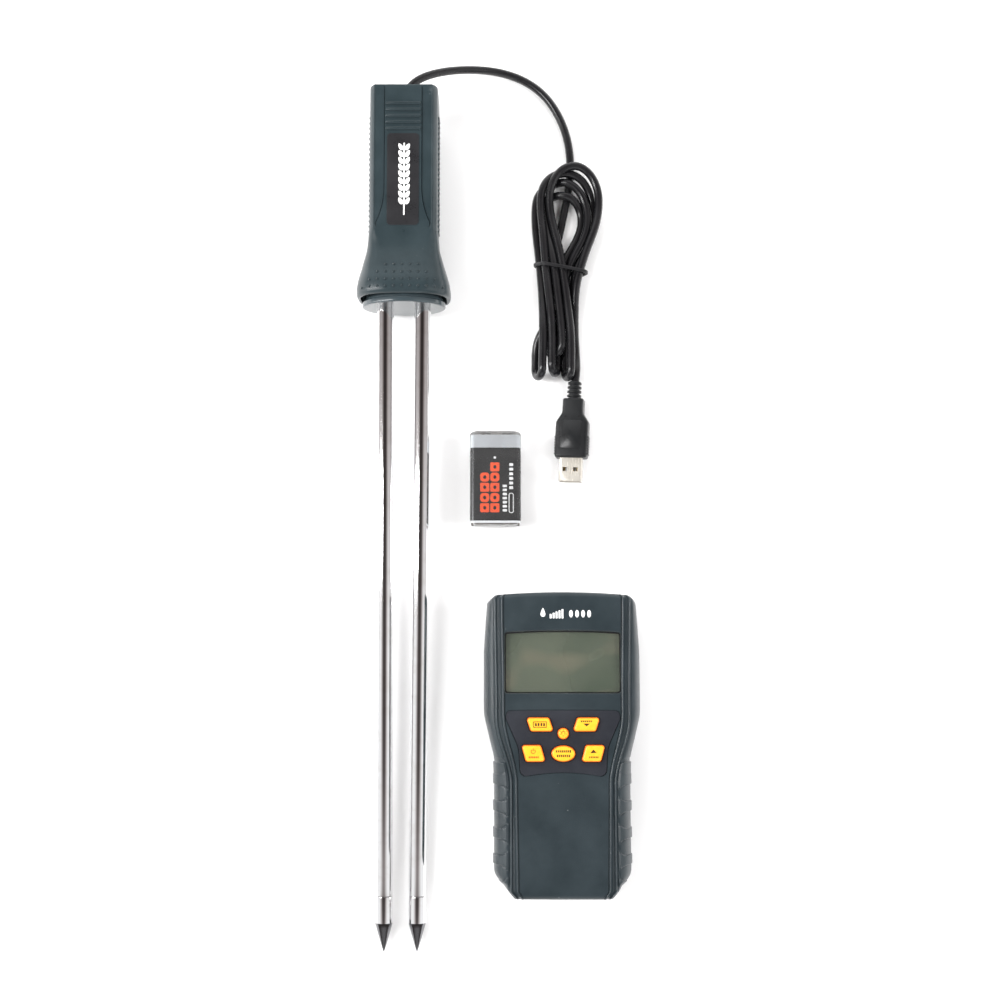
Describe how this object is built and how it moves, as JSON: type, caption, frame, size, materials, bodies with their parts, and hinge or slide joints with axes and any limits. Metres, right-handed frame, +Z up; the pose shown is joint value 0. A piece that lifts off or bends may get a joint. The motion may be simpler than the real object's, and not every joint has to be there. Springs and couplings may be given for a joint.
{
  "type": "grain moisture meter",
  "caption": "Grain moisture meter: a rod probe with a corded handle, the hand unit with its display and keypad that it plugs into, and its block battery, laid side by side.",
  "frame": {"origin": "on the surface the kit lies on, under the middle of the probe, hand unit and battery taken together, the lead apart", "axes": "+Z up from the surface, +Y from the probe's points towards its handle, +X from the probe towards the hand unit"},
  "size_m": [0.1446, 0.4653, 0.0403],
  "materials": {
    "handle_plastic": "fine moulded grain",
    "case_plastic": "fine spark-eroded grain",
    "base_plastic": "polished",
    "rod_steel": "mirror polished",
    "nut_steel": "zinc plated",
    "screw_steel": "blackened",
    "cord_pvc": "glossy",
    "tie_plastic": "satin",
    "plug_plastic": "fine grain",
    "plug_nickel": "nickel plated",
    "contact_gold": "gold flashed",
    "tongue_plastic": "moulded",
    "label_film": "laminated print",
    "overlay_film": "textured film",
    "key_rubber": "printed silicone",
    "mat_silicone": "moulded silicone",
    "window_clear": "clear acrylic",
    "display_glass": "liquid crystal, off",
    "light_diffuser": "milky",
    "strip_elastomer": "striped elastomer",
    "frame_black": "moulded",
    "board_laminate": "solder resist",
    "socket_metal": "nickel plated",
    "snap_vinyl": "moulded vinyl",
    "lead_insulation": "stranded wire insulation",
    "foam": "closed-cell foam",
    "battery_print": "printed steel",
    "battery_metal": "plated steel",
    "battery_board": "fibre board",
    "film_clear": "clear shrink film"
  },
  "bodies": {
    "probe": {"handle_front_shell": "handle_plastic", "handle_rear_shell": "handle_plastic", "handle_end_plate": "handle_plastic", "handle_label": "label_film", "handle_screws": "screw_steel", "cord_bush": "snap_vinyl", "cord_clamp": "snap_vinyl", "probe_base": "base_plastic", "rod_left": "rod_steel", "rod_right": "rod_steel", "tip_left": "rod_steel", "tip_right": "rod_steel", "rod_nuts": "nut_steel", "rod_lugs": "contact_gold", "probe_leads": "lead_insulation", "cord_tube": "cord_pvc", "cord_hank": "cord_pvc", "hank_tie": "tie_plastic", "plug_strain_relief": "plug_plastic", "plug_housing": "plug_plastic", "plug_shell": "plug_nickel", "plug_tongue": "tongue_plastic", "plug_contacts": "contact_gold"},
    "unit": {"front_case": "case_plastic", "rear_case": "case_plastic", "keypad_overlay": "overlay_film", "keypad_mat": "mat_silicone", "display_window": "window_clear", "display_panel": "display_glass", "display_backlight": "light_diffuser", "contact_strip": "strip_elastomer", "display_frame": "frame_black", "circuit_board": "board_laminate", "board_screws": "screw_steel", "case_screws": "screw_steel", "probe_socket": "socket_metal", "battery_snap": "snap_vinyl", "battery_leads": "lead_insulation", "battery_pad": "foam"},
    "key_hold_body": {"key_hold": "key_rubber"},
    "key_select_body": {"key_select": "key_rubber"},
    "key_lamp_body": {"key_lamp": "key_rubber"},
    "key_power_body": {"key_power": "key_rubber"},
    "key_peak_body": {"key_peak": "key_rubber"},
    "key_menu_body": {"key_menu": "key_rubber"},
    "cover": {"battery_cover": "case_plastic"},
    "battery": {"battery_film": "film_clear", "battery_jacket": "battery_print", "battery_top": "battery_board", "battery_base": "battery_board", "battery_cells": "battery_board", "battery_stud": "battery_metal", "battery_crown": "battery_metal"}
  },
  "joints": [
    {"name": "unit_lift", "type": "slide", "parent": "probe", "child": "unit", "axis": [0, 0, 1], "range_m": [0, 0.08]},
    {"name": "battery_lift", "type": "slide", "parent": "probe", "child": "battery", "axis": [0, 0, 1], "range_m": [0, 0.08]},
    {"name": "cover_slide", "type": "slide", "parent": "unit", "child": "cover", "axis": [0, -1, 0], "range_m": [0, 0.064]},
    {"name": "key_hold_press", "type": "slide", "parent": "unit", "child": "key_hold_body", "axis": [0, 0, -1], "range_m": [0, 0.0009], "stiffness_N_per_m": 600},
    {"name": "key_select_press", "type": "slide", "parent": "unit", "child": "key_select_body", "axis": [0, 0, -1], "range_m": [0, 0.0009], "stiffness_N_per_m": 600},
    {"name": "key_lamp_press", "type": "slide", "parent": "unit", "child": "key_lamp_body", "axis": [0, 0, -1], "range_m": [0, 0.0009], "stiffness_N_per_m": 600},
    {"name": "key_power_press", "type": "slide", "parent": "unit", "child": "key_power_body", "axis": [0, 0, -1], "range_m": [0, 0.0009], "stiffness_N_per_m": 600},
    {"name": "key_peak_press", "type": "slide", "parent": "unit", "child": "key_peak_body", "axis": [0, 0, -1], "range_m": [0, 0.0009], "stiffness_N_per_m": 600},
    {"name": "key_menu_press", "type": "slide", "parent": "unit", "child": "key_menu_body", "axis": [0, 0, -1], "range_m": [0, 0.0009], "stiffness_N_per_m": 600}
  ]
}
